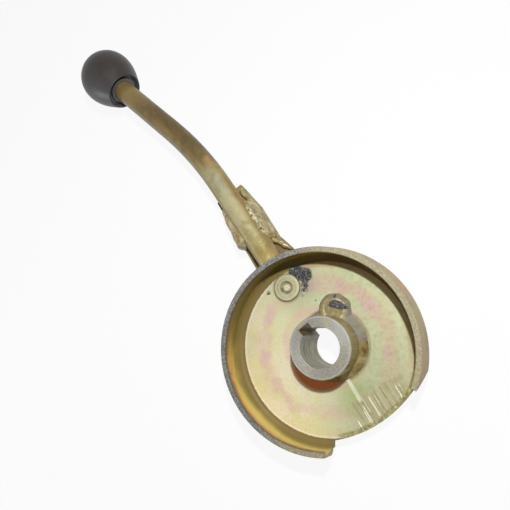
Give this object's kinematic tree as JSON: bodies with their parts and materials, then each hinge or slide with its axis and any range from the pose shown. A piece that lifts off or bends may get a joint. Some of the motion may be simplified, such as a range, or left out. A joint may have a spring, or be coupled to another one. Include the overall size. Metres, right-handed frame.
{
  "type": "hydraulic valve lever",
  "caption": "Hand lever for a hydraulic valve: a drawn steel cup with a keyed hub, a welded bent rod on a riveted tongue, and a moulded knob.",
  "frame": {"origin": "on the bore axis at the hub's rear face", "axes": "+Z along the bore towards the cup's open side, +X from the bore along the rod, +Y to the side that the rod bends to"},
  "size_m": [0.266, 0.0952, 0.0328],
  "materials": {
    "passivated_sheet": "satin yellow-passivated zinc",
    "passivated_bar": "satin yellow-passivated zinc",
    "hub_steel": "dull turned steel",
    "weld_metal": "rough passivated weld",
    "knob_plastic": "matte moulded"
  },
  "bodies": {
    "root": {"cup": "passivated_sheet", "hub": "hub_steel", "hub_weld": "weld_metal", "tongue": "passivated_sheet", "rivet": "hub_steel", "rod": "passivated_bar", "rod_weld_left": "weld_metal", "rod_weld_right": "weld_metal", "knob": "knob_plastic"}
  },
  "joints": []
}
